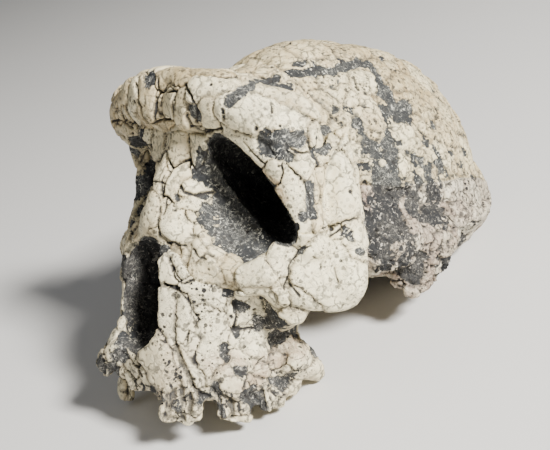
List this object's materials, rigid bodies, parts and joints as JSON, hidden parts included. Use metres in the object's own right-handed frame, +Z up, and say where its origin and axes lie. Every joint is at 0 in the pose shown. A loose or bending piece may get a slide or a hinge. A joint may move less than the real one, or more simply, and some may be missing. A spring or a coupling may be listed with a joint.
{
  "type": "fossil hominid skull",
  "caption": "Life-size crushed fossil skull of an early hominid with a thick brow ridge, stone-filled eye socket and worn upper teeth, lying at rest without its lower jaw.",
  "frame": {"origin": "centre of the bounding box at the level of the floor that the teeth and the back of the head stand on", "axes": "+Z up from the floor, -Y the way the face looks, +X the skull's own left"},
  "size_m": [0.121, 0.1909, 0.1155],
  "materials": {
    "bone": "matt cream bone plates with grey stone in the cracks",
    "stained_bone": "matt grey-brown bone under patches of grey stone",
    "bone_and_teeth": "matt cream bone and worn teeth with dark specks"
  },
  "bodies": {
    "root": {"braincase": "bone", "brow_ridge": "bone", "cheekbone_left": "bone", "cheekbone_right": "bone", "nasal_bridge": "bone", "skull_base": "stained_bone", "temporal_left": "stained_bone", "temporal_right": "stained_bone", "upper_jaw": "bone_and_teeth"}
  },
  "joints": []
}
